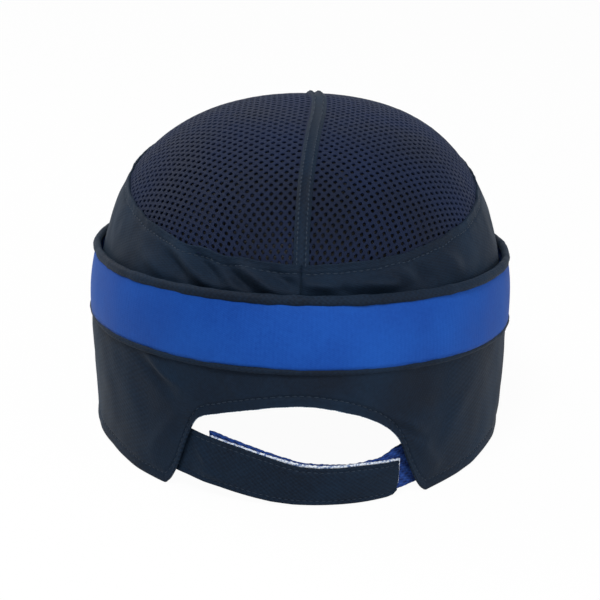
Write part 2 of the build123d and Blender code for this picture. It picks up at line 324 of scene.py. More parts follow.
def weave_group():
    """Woven cloth from a UV map in metres: its colour, roughness and height, its colour darkened by
    painted shade where threads and fuzz lie deep.
    """
    group = bpy.data.node_groups.new("weave", "ShaderNodeTree")
    face = group.interface
    face.new_socket("UV", in_out="INPUT", socket_type="NodeSocketVector")
    for name in ("Threads", "Slope", "Contrast"):
        face.new_socket(name, in_out="INPUT", socket_type="NodeSocketFloat")
    for name in ("Deep", "Raised"):
        face.new_socket(name, in_out="INPUT", socket_type="NodeSocketColor")
    face.new_socket("Colour", in_out="OUTPUT", socket_type="NodeSocketColor")
    for name in ("Roughness", "Height"):
        face.new_socket(name, in_out="OUTPUT", socket_type="NodeSocketFloat")
    nodes, links = group.nodes, group.links
    enter, leave = nodes.new("NodeGroupInput"), nodes.new("NodeGroupOutput")

    def math_node(operation, first, second):
        node = nodes.new("ShaderNodeMath")
        node.operation = operation
        for socket, value in zip(node.inputs, (first, second)):
            if isinstance(value, (int, float)):
                socket.default_value = value
            else:
                links.new(value, socket)
        return node.outputs["Value"]

    split = nodes.new("ShaderNodeSeparateXYZ")
    links.new(enter.outputs["UV"], split.inputs["Vector"])
    turned = math_node("MULTIPLY", split.outputs["Y"], enter.outputs["Slope"])
    diagonal = math_node("ADD", split.outputs["X"], turned)
    ribs = math_node("SINE", math_node("MULTIPLY", diagonal, enter.outputs["Threads"]), 0)
    picks = math_node("MULTIPLY", split.outputs["Y"], enter.outputs["Threads"])
    crossings = math_node("COSINE", math_node("MULTIPLY", picks, PICKS_PER_RIB), 0)
    checks = math_node("MULTIPLY", math_node("MULTIPLY", ribs, crossings), CHECK_DEPTH)
    threads = math_node("ADD", checks, math_node("MULTIPLY", ribs, RIB_DEPTH))
    place = nodes.new("ShaderNodeTexCoord").outputs["Object"]
    cloud = texture(nodes, links, "ShaderNodeTexNoise", place, 32.0, 5.0)
    fuzz = texture(nodes, links, "ShaderNodeTexNoise", place, 700.0, 3.0)
    worn = math_node("SUBTRACT", cloud.outputs["Fac"], 0.5)
    # painted shade: the relief of the threads and fuzz darkens the colour where it lies deep; the wear
    # is random tone
    share = math_node("MULTIPLY", threads, enter.outputs["Contrast"])
    share = math_node("ADD", share, math_node("MULTIPLY", worn, WEAR_SHARE))
    share = math_node("ADD", share, math_node("MULTIPLY", fuzz.outputs["Fac"], FUZZ_SHARE))
    mix = nodes.new("ShaderNodeMix")
    mix.data_type = "RGBA"
    links.new(share, mix.inputs["Factor"])
    links.new(enter.outputs["Deep"], mix.inputs["A"])
    links.new(enter.outputs["Raised"], mix.inputs["B"])
    for socket in mix.outputs:
        if socket.type == "RGBA":
            links.new(socket, leave.inputs["Colour"])
    dull = math_node("ADD", DULLNESS, math_node("MULTIPLY", worn, DULL_SPREAD))
    links.new(dull, leave.inputs["Roughness"])
    links.new(math_node("ADD", threads, fuzz.outputs["Fac"]), leave.inputs["Height"])
    return group


weave = weave_group()


def woven(name, deep, raised, threads=2400.0, slope=1.1, contrast=0.5, strength=0.35,
          sheen=0.03, tint=(0.35, 0.6, 0.9, 1), gloss=0.12):
    """A cloth whose colour runs from deep to raised, by random wear and by painted shade where its
    threads lie deep, with its threads counted in radians per metre.
    """
    material, nodes, links, shader = new_material(name, 0.75, sheen, tint, gloss)
    fabric = nodes.new("ShaderNodeGroup")
    fabric.node_tree = weave
    links.new(nodes.new("ShaderNodeTexCoord").outputs["UV"], fabric.inputs["UV"])
    for socket, value in (("Threads", threads), ("Slope", slope), ("Contrast", contrast),
                          ("Deep", (*deep, 1)), ("Raised", (*raised, 1))):
        fabric.inputs[socket].default_value = value
    links.new(fabric.outputs["Colour"], shader.inputs["Base Color"])
    links.new(fabric.outputs["Roughness"], shader.inputs["Roughness"])
    bump(nodes, links, fabric.outputs["Height"], strength, 0.3 * MM, shader)
    return material


towelling = woven("towelling", (0.005, 0.008, 0.016), (0.018, 0.025, 0.044), threads=1900.0,
                  slope=0.0, contrast=0.9, strength=0.7, sheen=0.15)
rear_bearing = math.acos(BAND_REAR / HALF_LENGTH)


def on_sweatband(u, w):
    """Inside the panel, from one strap round the brow to the other."""
    bearing = rear_bearing + (2 * math.pi - 2 * rear_bearing) * u
    low = front_edge(bearing, PEAK_THICKNESS) + TOWEL_SEAT
    z = low + (crossing(bearing, BAND_TOP) - low) * w
    fold = TOWEL_FOLD * math.sin(math.pi * w)
    uneven = ruffle(on_form(bearing, z), TOWEL_RUFFLE)
    return lifted(bearing, z, SKIRT - CLOTH - TOWEL_CLEAR - fold + uneven)


cloth("sweatband_towelling", ["sweatband"], (240, 14), on_sweatband, (480.0, 34.0), towelling,
      SWEATBAND)


# ---- Brow pad
# A soft foam block laminated with brushed cloth, stitched to the sweatband over the brow.
# It swells between the stitched channels that let it bend round the head.

BROW_HALF, BROW_LEVEL = 56.0, 30.0        # half its width, and the height where that is read
BROW_SEAT, BROW_TOP_GAP = 3.0, 5.5        # above the peak's underside, and below the sweatband's top
BROW_EDGE = 0.5                           # depth of its sewn edge
BROW_SWELL = 2.5                          # how much deeper the foam is between the channels
BROW_END_POWER, BROW_SIDE_POWER = 6, 3    # how late it thins towards its ends and long edges
BROW_CHANNELS, CHANNEL_SHARE = 7, 0.45    # how much of the swell is left in a channel
CHANNEL_POWER = 0.4                       # below 1 makes the channels narrow
BROW_CLEAR = 0.4
BROW_HEIGHT = 20.0                        # of its cloth as cut


def on_brow(u, w):
    """Bearing and height of a place on the pad."""
    bearing = math.pi + (2 * u - 1) * math.asin(BROW_HALF / HALF_WIDTH)
    point = on_form(bearing, BROW_LEVEL)
    low = peak_height(point.x, point.y, PEAK_THICKNESS) + BROW_SEAT
    high = crossing(bearing, BAND_TOP) - BROW_TOP_GAP
    return bearing, low + (high - low) * w


def pad_depth(u, w):
    """Depth of the foam: full in the middle, thin at the edges, drawn in at each channel."""
    crown = (1 - abs(2 * u - 1) ** BROW_END_POWER) * (1 - abs(2 * w - 1) ** BROW_SIDE_POWER)
    channel = abs(math.sin(math.pi * BROW_CHANNELS * u)) ** CHANNEL_POWER
    return BROW_EDGE + BROW_SWELL * crown ** 0.5 * (CHANNEL_SHARE + (1 - CHANNEL_SHARE) * channel)


def brow_pad_mesh():
    """A closed pad: its back against the sweatband, its channelled front, and the edge between."""
    inner_lift = SKIRT - CLOTH - BROW_CLEAR - SWEATBAND
    block = bmesh.new()
    bmesh.ops.create_grid(block, x_segments=98, y_segments=16, size=0.5)
    uv = block.loops.layers.uv.new("cloth")
    share = {vert: (vert.co.x + 0.5, vert.co.y + 0.5) for vert in block.verts}
    for face in block.faces:
        for loop in face.loops:
            u, w = share[loop.vert]
            loop[uv].uv = (u * 2 * BROW_HALF * MM, w * BROW_HEIGHT * MM)
    for vert, (u, w) in share.items():
        vert.co = lifted(*on_brow(u, w), inner_lift) * MM
    back = list(block.verts)
    front = bmesh.ops.duplicate(block, geom=block.verts[:] + block.edges[:] + block.faces[:])
    for vert in back:
        u, w = share[vert]
        twin = front["vert_map"][vert]
        twin.co = lifted(*on_brow(u, w), inner_lift - pad_depth(u, w)) * MM
    open_edges = [edge for edge in block.edges if edge.is_boundary]
    bmesh.ops.bridge_loops(block, edges=open_edges)
    bmesh.ops.recalc_face_normals(block, faces=block.faces)
    return finished(block, "brow_pad_cover")


brow_pad = new_piece("brow_pad_cover", brow_pad_mesh(), towelling, "cover",
                     ["brow_pad"])


# ---- Peak
# A plastic board between two cloth covers, held by rows of topstitching along its curve.
# A bias-cut binding is folded round its edge and sewn down on both sides.

# the deep navy is partly painted shade in the hollows of the weave
NAVY_DEEP, NAVY_RAISED = (0.0016, 0.0048, 0.0120), (0.0070, 0.0205, 0.0440)
STITCH, STITCH_FILL = 2.6, 0.42           # pitch, and half the share of it that thread covers
THREAD, PEAK_THREAD = 0.26, 0.32          # radius
PEAK_INSET, PEAK_TURN = 1.0, 0.6          # cloth short of the board's ends, and past its front
COVER_WALL, COVER_INSET = 0.8, 0.35       # the inset leaves room for the quilting
QUILT_SWELL, QUILT_RUFFLE = 0.25, (22.0, 0.12)
PEAK_ROWS, PEAK_ROW_GAP = 5, 7.0
ROW_STEPS, ROW_SHORT, ROW_NARROWS = 200, 4.0, 0.06  # each row is narrower than the last
ROW_END, ROW_RISE = 2.0, 0.02             # short of the crown, and above the cloth
BINDING, BINDING_REACH = 0.7, 5.0         # how far it stands off the edge, and folds over it
BINDING_WALL = 0.5
BINDING_ROLL, BINDING_SNUG = 0.3, 0.8     # share of it that rolls round the edge, and its squash
BINDING_START, BINDING_RUN = 0.035, 0.93  # round the peak, in half turns
BINDING_RUFFLE, BINDING_APART = (6.0, 0.12), 9.0   # the last keeps its two sides from matching

navy = woven("navy_twill", NAVY_DEEP, NAVY_RAISED)
navy_trim = woven("navy_trim", NAVY_DEEP, (0.008, 0.022, 0.047), slope=-1.1)


def thread_and_highlight_material(name, colour):
    """Spun thread, with painted shade between its plies; it also makes the painted highlight along the
    arch's edge.
    """
    material, nodes, links, shader = new_material(name, 0.6, 0.05, gloss=0.2)
    place = nodes.new("ShaderNodeTexCoord").outputs["Object"]
    ply = texture(nodes, links, "ShaderNodeTexNoise", place, 2500.0)
    # painted shade: half as bright where the plies' relief lies low
    ply_shade = tuple(value * 0.5 for value in colour)
    links.new(ramp(nodes, links, ply.outputs["Fac"], ((0.35, ply_shade), (0.65, colour))),
              shader.inputs["Base Color"])
    bump(nodes, links, ply.outputs["Fac"], 0.4, 0.1 * MM, shader)
    return material


navy_thread = thread_and_highlight_material("navy_thread", (0.014, 0.029, 0.054))


def sew(name, rows, radius, body, material, length=STITCH):
    """Stitches along rows of (point, out) pairs in mm: short ropes of thread, end to end."""
    row_mesh = bmesh.new()
    for row in rows:
        travelled = 0.0
        for (start, out), (end, _) in zip(row, row[1:]):
            travelled += (end - start).length
            if travelled < length:
                continue
            travelled = 0.0
            along = (end - start).normalized()
            side = along.cross(out).normalized()
            up = side.cross(along)
            turn = Matrix((along, side, up)).transposed().to_4x4()
            place = Matrix.Translation((start + end) / 2 * MM) @ turn
            shape = Matrix.Diagonal((STITCH_FILL * length * MM, radius * MM, radius * MM, 1))
            bmesh.ops.create_uvsphere(row_mesh, u_segments=6, v_segments=4, radius=1,
                                      matrix=place @ shape)
    return new_piece(name, finished(row_mesh, name), material, body, [])


def away_from_axis(point, height):
    """The way from a height on the cap's axis to a point."""
    return (point - Vector((0, 0, height))).normalized()


def evenly(count, place, closed=True):
    """Pairs from place(share), evenly round a closed row or from end to end of an open one."""
    gaps = count if closed else count - 1
    return [place(step / gaps) for step in range(count)]


def peak_front(x):
    """How far ahead the peak's edge is."""
    half = HALF_LENGTH + PEAK_LENGTH + PEAK_WIDEST
    return PEAK_WIDEST - half * math.sqrt(max(1 - (x / PEAK_HALF) ** 2, 0))


def peak_rear(x):
    """Where the peak meets the crown, half-way down the wall's draft."""
    width, length = HALF_WIDTH + SKIRT - CLOTH, HALF_LENGTH + (SKIRT - CLOTH) * (1 + STRETCH)
    return -length * math.sqrt(1 - (x / width) ** 2) * (1 - WALL_DRAFT / 2)


def quilted(u, w, drop, out):
    """The peak's skin, drawn in along its rows of topstitching."""
    x = (PEAK_HALF - PEAK_INSET) * math.sin(math.pi * (u - 0.5))
    front, rear = peak_front(x), peak_rear(x)
    y = rear + (min(front + PEAK_TURN, rear) - rear) * w
    point = Vector((x, y, peak_height(x, y, drop)))
    from_edge = (1 - w) * abs(front - rear)
    swell = QUILT_SWELL * abs(math.sin(math.pi * from_edge / PEAK_ROW_GAP)) ** 0.5
    return point + Vector((0, 0, out * (swell + ruffle(point, QUILT_RUFFLE))))


for name, node, drop, out, middle in (
        ("peak_cloth_top", "peak_top_cover", COVER_INSET, 1, 0.0),
        ("peak_cloth_under", "peak_bottom_cover", PEAK_THICKNESS - COVER_INSET, -1, 90.0)):
    cloth(name, [node], (150, 64), lambda u, w: quilted(u, w, drop, out), (175.0, 125.0), navy,
          COVER_WALL, middle=middle)


def peak_row(index, drop, out):
    """One row of topstitching on the peak's top or underside."""
    row = []
    for step in range(ROW_STEPS + 1):
        x = (PEAK_HALF - ROW_SHORT) * math.sin(math.pi * (step / ROW_STEPS - 0.5))
        x *= 1 - ROW_NARROWS * index
        y = peak_front(x) + PEAK_ROW_GAP * index
        if y < peak_rear(x) - ROW_END:
            z = peak_height(x, y, drop) + ROW_RISE * out
            row.append((Vector((x, y, z)), Vector((0, 0, out))))
    return row


topstitch = [peak_row(index, drop, out) for index in range(1, PEAK_ROWS + 1)
             for drop, out in ((0.0, 1), (PEAK_THICKNESS, -1))]
sew("peak_topstitch", topstitch, PEAK_THREAD, "cover", navy_thread)


def on_binding(u, w):
    """Round the peak's edge and over it, on top and underneath."""
    angle = math.pi * (BINDING_START + BINDING_RUN * u)
    half = HALF_LENGTH + PEAK_LENGTH + PEAK_WIDEST
    x, y = PEAK_HALF * math.cos(angle), PEAK_WIDEST - half * math.sin(angle)
    out = Vector((math.cos(angle) / PEAK_HALF, -math.sin(angle) / half)).normalized()
    around = 2 * w - 1
    turn = max(min(around / BINDING_ROLL, 1.0), -1.0) * math.pi / 2
    inset = BINDING_REACH * max(abs(around) - BINDING_ROLL, 0) / (1 - BINDING_ROLL)
    edge = Vector((x, y)) + out * (BINDING * math.cos(turn) - inset)
    uneven = ruffle(Vector((x, y, around * BINDING_APART)), BINDING_RUFFLE)
    half_thick = PEAK_THICKNESS / 2 + BINDING * BINDING_SNUG + uneven
    z = peak_height(edge.x, edge.y, PEAK_THICKNESS / 2) + half_thick * math.sin(turn)
    return Vector((edge.x, edge.y, z))


cloth("peak_edge_binding", ["peak_binding"], (220, 18), on_binding, (300.0, 15.0), navy_trim,
      BINDING_WALL, middle=10.0)


def board_plastic():
    """Dark moulded board, uneven in tone."""
    material, nodes, links, shader = new_material("peak_board_plastic", 0.6)
    place = nodes.new("ShaderNodeTexCoord").outputs["Object"]
    cloud = texture(nodes, links, "ShaderNodeTexNoise", place, 80.0, 4.0)
    tone = ramp(nodes, links, cloud.outputs["Fac"],
                ((0.3, (0.02, 0.02, 0.022)), (0.7, (0.035, 0.035, 0.038))))
    links.new(tone, shader.inputs["Base Color"])
    return material


assign(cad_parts["peak_board"], board_plastic())


# ---- Lower panel
# Navy twill cut as one band round the head, with an arch cut out of it over the closing straps.
# Its edges are turned in and sewn, and it creases where the straps pull on the arch.

BAND_LOW, BAND_HIGH, BAND_TILT = 52.5, 78.2, 5.8
PANEL_TUCK = 0.6                          # how far its top runs in under the lower piping
RIM_ROLL, RIM_SWELL = 1.1, 0.35           # width and height of the turned-in edge
RIM_STITCH, RIM_GROOVE, GROOVE_WIDTH = 4.2, 0.5, 0.7
STITCH_SINK = 0.42                        # how deep the stitches lie in their groove
PANEL_RUFFLES = ((30.0, 0.9), (11.0, 0.35))
PANEL_LEVEL = 20.0                        # height where its front and back are told apart
PANEL_STEPS = 1200                        # places tried round its seam, closer than a stitch
CREASES_FROM = 20.0                       # creases are at the back only
CREASE_START, CREASE_RUN = 0.15, 0.7      # the part of a half wave that a crease's length takes
# the edge of the arch, from its right end to its left: x and height
ARCH = ((-57.5, 0.0), (-53.6, 5.6), (-49.5, 15.0), (-45.9, 24.8), (-43.6, 29.6), (-40.0, 34.0),
        (-34.5, 38.6), (-26.6, 42.8), (-18.0, 45.7), (-8.0, 47.7), (0.0, 48.1), (9.3, 47.0),
        (19.9, 44.8), (30.5, 41.7), (39.5, 38.6), (43.2, 35.8), (46.2, 29.6), (49.9, 17.9),
        (53.9, 6.2), (57.5, 0.0))
ARCH_END, CORNER_EASE = 57.5, 1.6
# the grid is finer at the arch: share of its columns up to a bearing in radians
PANEL_COLUMNS = ((0.0, -math.pi), (0.22, -0.74), (0.34, -0.46), (0.66, 0.46), (0.78, 0.74),
                 (1.0, math.pi))
# each crease: two ends (x, z), height and half-width
PANEL_CREASES = (((62, 57), (49, 49), 1.7, 2.2), ((66, 54), (52, 44), -1.1, 2.4),
                 ((-39, 40), (-52, 31), 1.3, 2.0), ((-41, 36), (-51, 26), -1.0, 1.8),
                 ((-45, 33), (-58, 12), 1.3, 3.2), ((50, 34), (60, 14), 1.2, 3.0),
                 ((-20, 55), (-30, 46), 0.7, 2.2), ((24, 50), (30, 57), 0.6, 2.0),
                 ((-70, 40), (-62, 20), 0.7, 3.5), ((72, 44), (66, 22), 0.7, 3.5))


def along(points, at):
    """Value at a place on a line of (place, value) points."""
    for (near, first), (far, last) in zip(points, points[1:]):
        if at <= far:
            return first + (last - first) * (at - near) / (far - near)
    return points[-1][1]


def arch_height(x):
    """Height of the arch's edge, with its corners eased."""
    near = [x + share * CORNER_EASE for share in (-1, -0.5, 0, 0.5, 1)]
    return sum(along(ARCH, min(max(place, -ARCH_END), ARCH_END)) for place in near) / len(near)


def creased(point, creases):
    """Lift of the cloth from the creases near a point at the back."""
    lift = 0.0
    if point.y < CREASES_FROM:
        return lift
    for (x0, z0), (x1, z1), height, width in creases:
        run = Vector((x1 - x0, z1 - z0))
        offset = Vector((point.x - x0, point.z - z0))
        share = clipped(offset.dot(run) / run.length_squared)
        away = (offset - run * share).length / width
        fade = math.sin(math.pi * (CREASE_START + CREASE_RUN * share))
        lift += height * math.exp(-away * away) * fade
    return lift


def panel_drape(point):
    """How far the panel's cloth wanders at a point."""
    return ruffle(point, *PANEL_RUFFLES) + creased(point, PANEL_CREASES)


def panel_edges(bearing):
    """Lower and upper edge of the panel at a bearing."""
    point = on_form(bearing, PANEL_LEVEL)
    low = front_edge(bearing, 0.0)
    x = (HALF_WIDTH + SKIRT) * math.sin(bearing)
    if point.y > 0 and abs(x) < ARCH_END:
        low = max(low, arch_height(x))
    return low, crossing(bearing, (BAND_LOW - PANEL_TUCK, BAND_TILT))


def on_panel(u, w):
    """Round the cap from the middle of the brow, and up from the lower edge."""
    bearing = along(PANEL_COLUMNS, u)
    low, high = panel_edges(bearing)
    z = low + (high - low) * w
    hem = RIM_SWELL * math.exp(-((z - low) / RIM_ROLL) ** 2)
    groove = RIM_GROOVE * math.exp(-((z - low - RIM_STITCH) / GROOVE_WIDTH) ** 2)
    return lifted(bearing, z, SKIRT + hem - groove + panel_drape(on_form(bearing, z)))


cloth("lower_panel_cloth", ["lower_panel"], (520, 64), on_panel, (640.0, 58.0), navy,
      CLOTH, joined=True)


def panel_stitch(share):
    """A place in the groove of the lower seam, and the way it faces."""
    bearing = -math.pi + 2 * math.pi * share
    z = panel_edges(bearing)[0] + RIM_STITCH
    point = lifted(bearing, z, SKIRT - STITCH_SINK + panel_drape(on_form(bearing, z)))
    return point, away_from_axis(point, z)


sew("lower_panel_stitches", [evenly(PANEL_STEPS, panel_stitch)], THREAD, "cover",
    navy_thread)


# ---- Edge of the arch
# The arch is cut across the twill and overcast.
# A thin, uneven pale line along its edge is painted highlight, where light catches the rim of the
# arch.

EDGE_GLOW, EDGE_GLOW_END = 0.42, 45.0           # thickness of the line, and how far it runs each way
EDGE_GLOW_LEAST, EDGE_GLOW_SPREAD, EDGE_GLOW_PACE = 0.55, 0.6, 0.9  # how uneven it is
EDGE_GLOW_DROP, EDGE_GLOW_SINK = 0.15, 0.3      # below the edge, and into the cloth

# the pale line is painted highlight, made as a thin roll with the thread material
arch_highlight_material = thread_and_highlight_material("arch_edge_painted_highlight", (0.16, 0.27, 0.42))


def on_edge_glow(u, w):
    """Along the arch's edge, and round the line of painted highlight."""
    x = EDGE_GLOW_END * (2 * u - 1)
    bearing = math.asin(x / (HALF_WIDTH + SKIRT))
    z = arch_height(x)
    drape = panel_drape(on_form(bearing, z))
    turn = 2 * math.pi * w
    uneven = abs(noise.noise(Vector((x * EDGE_GLOW_PACE, 0, 0))))
    thick = EDGE_GLOW * (EDGE_GLOW_LEAST + EDGE_GLOW_SPREAD * uneven)
    z += thick * math.sin(turn) - EDGE_GLOW_DROP
    return lifted(bearing, z, SKIRT - EDGE_GLOW_SINK + drape + thick * math.cos(turn))


edge_glow_mesh = shaped_grid("arch_edge_highlight", 260, 6, on_edge_glow, (110.0, 2.6), joined=True, middle=20.0)
new_piece("arch_edge_highlight", edge_glow_mesh, arch_highlight_material, "cover", [])


# ---- Contrast band
# A strip of smooth royal-blue cloth laid over the cap and sewn in between the two pipings.
# It is the fullest part of the cap, and it stands off the panels at the sides.

BAND_STAND, BAND_CROWN = 4.2, 0.5         # its lift, and how much fuller it is in the middle
BAND_RUFFLE, BAND_RIPPLE = (34.0, 0.5), (9.0, 0.16)
BAND_TUCK = 0.5                           # how far it runs in under each piping
RIPPLE_STRETCH = 0.4                      # draws the small ripples out from seam to seam

royal = woven("royal_cloth", (0.003, 0.046, 0.265), (0.010, 0.086, 0.400), threads=3200.0, slope=0.0,
              contrast=0.12, strength=0.12, sheen=0.08, tint=(0.4, 0.6, 1.0, 1))


def on_band(u, w):
    """Round the cap, and up between the two pipings."""
    bearing = 2 * math.pi * u
    low = crossing(bearing, (BAND_LOW - BAND_TUCK, BAND_TILT))
    z = low + (BAND_HIGH - BAND_LOW + 2 * BAND_TUCK) * w
    point = on_form(bearing, z)
    ripple = ruffle(Vector((point.x, point.y, z * RIPPLE_STRETCH)), BAND_RIPPLE)
    drape = ruffle(point, BAND_RUFFLE) + ripple
    return lifted(bearing, z, BAND_STAND + BAND_CROWN * math.sin(math.pi * w) + drape)


cloth("contrast_band_cloth", ["contrast_band"], (320, 16), on_band, (645.0, 27.0), royal,
      CLOTH, joined=True, middle=65.0)


# ---- Pipings
# A bias strip of the navy twill folded over a cord and caught in the seam above and below the band.
# The upper one stands up from the yoke like a lip.

PIPING = 3.3
PIPING_RUFFLE = (26.0, 0.6)
PIPING_LUMPS, LUMP_SIZE = 0.16, 5.0       # the cord inside swells and thins a little
# name, height on the cap, lift, radius, and how much taller than wide it is
PIPINGS = (("piping_upper", BAND_HIGH + PIPING / 2, BAND_STAND - 0.5, 1.75, 1.15),
           ("piping_lower", BAND_LOW - PIPING / 2 + 0.3, BAND_STAND - 0.8, 1.25, 1.1))


def on_piping(u, w, height, lift, radius, tall):
    """Round the cap, and round the cord inside."""
    bearing = 2 * math.pi * u
    z = crossing(bearing, (height, BAND_TILT))
    turn = 2 * math.pi * w
    point = on_form(bearing, z)
    swell = radius * (1 + PIPING_LUMPS * noise.noise(point / LUMP_SIZE))
    out = lift + ruffle(point, PIPING_RUFFLE) + swell * math.cos(turn)
    return lifted(bearing, z + tall * swell * math.sin(turn), out)


for node, height, lift, radius, tall in PIPINGS:
    roll_mesh = shaped_grid(f"{node}_roll", 420, 12,
                            lambda u, w: on_piping(u, w, height, lift, radius, tall),
                            (640.0, 2 * math.pi * radius), joined=True, middle=height)
    tube = bmesh.new()
    tube.from_mesh(roll_mesh)
    bmesh.ops.recalc_face_normals(tube, faces=tube.faces)
    tube.to_mesh(roll_mesh)
    tube.free()
    new_piece(f"{node}_roll", roll_mesh, navy_trim, "cover", [node])


# ---- Yokes and front panel
# Three pieces of navy twill round the crown, closed by an upright seam at the back and two at the
# front. Their upper edge is turned under and topstitched on to the mesh, which gathers it a little.

HEM = (113.9, -5.4)                       # their upper edge: height at mid-length, and degrees
HEM_ROLL, HEM_SWELL = 1.0, 0.55
HEM_STITCH, HEM_GROOVE_WIDTH, HEM_THREAD_RISE = 3.2, 0.6, 0.1
HEM_WAVE, HEM_WAVES = 0.8, 9              # how far its edge wanders, and how often
HEM_HEART = 60.0                          # height on the axis that its stitches face away from
HEM_STEPS = 1100
HEM_GATHER, GATHER_SIZE, GATHER_REACH = 0.28, 4.0, 5.0  # small puckers that die out below it
YOKE_LIFT, YOKE_WALL, YOKE_TUCK = 0.45, 1.0, 0.4
YOKE_RUFFLES = ((24.0, 0.8), (9.0, 0.35))
HELD_SHARE = 0.3                          # what is left of the folds where a seam holds the cloth
SEAM_TUCK, SEAM_WIDTH = 0.45, 0.8
FRONT_SEAM, YOKE_RADIUS = 66.0, 90.0      # x of the front seams, and how far out they lie
FRONT_BEARING = math.pi - math.asin(FRONT_SEAM / YOKE_RADIUS)
# each fold: two ends (x, z), height and half-width
YOKE_FOLDS = (((53, 104), (41, 94), 3.6, 2.5), ((59, 101), (48, 92), -2.5, 2.5),
              ((44, 103), (34, 95), -2.2, 2.5), ((25, 102), (11, 94), 3.4, 2.4),
              ((32, 101), (20, 93), -2.4, 2.4), ((12, 101), (2, 96), -1.9, 2.3),
              ((-3, 97), (-15, 96), 2.8, 2.0), ((-26, 97), (-39, 95), 3.1, 2.2),
              ((-16, 95), (-26, 92), -2.1, 2.3), ((-38, 102), (-47, 96), 2.2, 2.3),
              ((68, 97), (58, 91), 1.9, 2.7), ((-60, 102), (-68, 93), 2.1, 2.7),
              ((-50, 100), (-58, 91), -2.2, 2.7), ((5, 91.5), (-44, 91.5), -1.6, 1.8),
              ((8, 91.5), (56, 90), -1.5, 1.8))


def yoke_lift(bearing, z, low, high):
    """Lift of the cloth between its two edges: a rolled hem, a stitched groove, gathers and folds."""
    point = on_form(bearing, z)
    hem = HEM_SWELL * math.exp(-((high - z) / HEM_ROLL) ** 2)
    groove = HEM_SWELL * math.exp(-((high - z - HEM_STITCH) / HEM_GROOVE_WIDTH) ** 2)
    pucker = noise.noise(Vector((point.x, point.y, 0)) / GATHER_SIZE)
    gather = HEM_GATHER * pucker * math.exp(-(high - z) / GATHER_REACH)
    free = math.sin(math.pi * clipped((z - low) / (high - low))) ** 0.5
    drape = ruffle(point, *YOKE_RUFFLES) + creased(point, YOKE_FOLDS)
    return YOKE_LIFT + hem - groove + gather + drape * (HELD_SHARE + (1 - HELD_SHARE) * free)


def hem_height(bearing):
    """Height of the sewn edge, which wanders a little as it goes round."""
    around = Vector((math.sin(bearing), math.cos(bearing), 0))
    return crossing(bearing, HEM) + HEM_WAVE * noise.noise(around * HEM_WAVES)


def on_yoke(u, w, start, end):
    """From seam to seam, and up from the piping to the hem."""
    bearing = start + (end - start) * u
    low, high = crossing(bearing, (BAND_HIGH - YOKE_TUCK, BAND_TILT)), hem_height(bearing)
    z = low + (high - low) * w
    from_seam = min(u, 1 - u) * abs(end - start) * YOKE_RADIUS
    tuck = SEAM_TUCK * math.exp(-(from_seam / SEAM_WIDTH) ** 2)
    return lifted(bearing, z, yoke_lift(bearing, z, low, high) - tuck)


for node, start, end, size, columns in (
        ("yoke_left", 0.0, FRONT_BEARING, (200.0, 44.0), 210),
        ("yoke_right", 0.0, -FRONT_BEARING, (200.0, 44.0), 210),
        ("front_panel", FRONT_BEARING, 2 * math.pi - FRONT_BEARING, (150.0, 58.0), 170)):
    cloth(f"{node}_cloth", [node], (columns, 44), lambda u, w: on_yoke(u, w, start, end), size,
          navy, YOKE_WALL, middle=90.0)


def hem_stitch(share):
    """A place in the groove of the hem, and the way it faces."""
    bearing = 2 * math.pi * share
    low, high = crossing(bearing, (BAND_HIGH, BAND_TILT)), hem_height(bearing)
    z = high - HEM_STITCH
    point = lifted(bearing, z, yoke_lift(bearing, z, low, high) + HEM_THREAD_RISE)
    return point, away_from_axis(point, HEM_HEART)


sew("mesh_hem_stitches", [evenly(HEM_STEPS, hem_stitch)], THREAD, "cover", navy_thread)


# ---- Mesh crown
# Two halves of knitted air mesh with a staggered pattern of open holes over a second, finer face.
# Each is cut to the crown's oval, and the seam between them leans to the wearer's right.

HOLE_STEP = math.radians(1.66)
MESH_REACH = 1.02                         # half the patch before it is cut, in radians
MESH_HEART = 30.0                         # height that the holes are spaced out from
HOLE_FRAME = 0.215                        # part of a hole's pitch that is thread, on each side
WHOLE_CELL = 0.8                          # share of a cell's area that still gets a hole
MESH_WALL = 1.1
MESH_SCALE = 0.116                        # metres of cloth for each radian of the patch
MESH_TUCK = 2.2                           # how far the mesh runs on under the hem
MESH_ACROSS, MESH_ALONG = 0.9, 1.06       # what the patch is cut to, in radians
MESH_SEAM = 0.004                         # room that each half leaves to the seam
KNOT_DEPTH, KNOTS = 0.18, 70              # unevenness of the knit, and how fine it is
SEAM_LEAN = -6.4                          # how far the seam leans where it leans most
LEAN_REAR, LEAN_CREST, LEAN_FRONT = 101.0, -14.0, -92.0  # where it ends, peaks and starts
LEAN_SIDE = 78.0                          # where the sides no longer follow it
AIM_NEAR, AIM_FAR, AIM_ROUNDS = 20.0, 170.0, 26    # search for the form's surface from the heart
FORM_STEP = 0.05

mesh_yarn = woven("mesh_yarn", (0.0014, 0.0040, 0.0135), (0.0068, 0.0150, 0.050), threads=5200.0,
                  slope=1.0, contrast=0.8, strength=0.6, sheen=0.05, tint=(0.35, 0.5, 1.0, 1))


def outside(point):
    """Above zero outside the head form, below zero inside it."""
    across, along_y = point.x / HALF_WIDTH, point.y / HALF_LENGTH
    flat = across ** 2 + along_y ** 2
    end_share = along_y ** 2 / max(flat, 1e-9)
    power = SIDE_POWER + (END_POWER - SIDE_POWER) * end_share
    rise = max(point.z - SHOULDER, 0.0) / (CROWN_TOP - SHOULDER)
    return flat ** (power / 2) + rise ** power - 1


def seam_lean(x, y):
    """How far the crown's middle sits to the wearer's right."""
    end = LEAN_REAR if y > LEAN_CREST else LEAN_FRONT
    share = clipped((end - y) / (end - LEAN_CREST))
    ease = share * share * (3 - 2 * share)
    return SEAM_LEAN * ease * max(1 - abs(x) / LEAN_SIDE, 0.0)


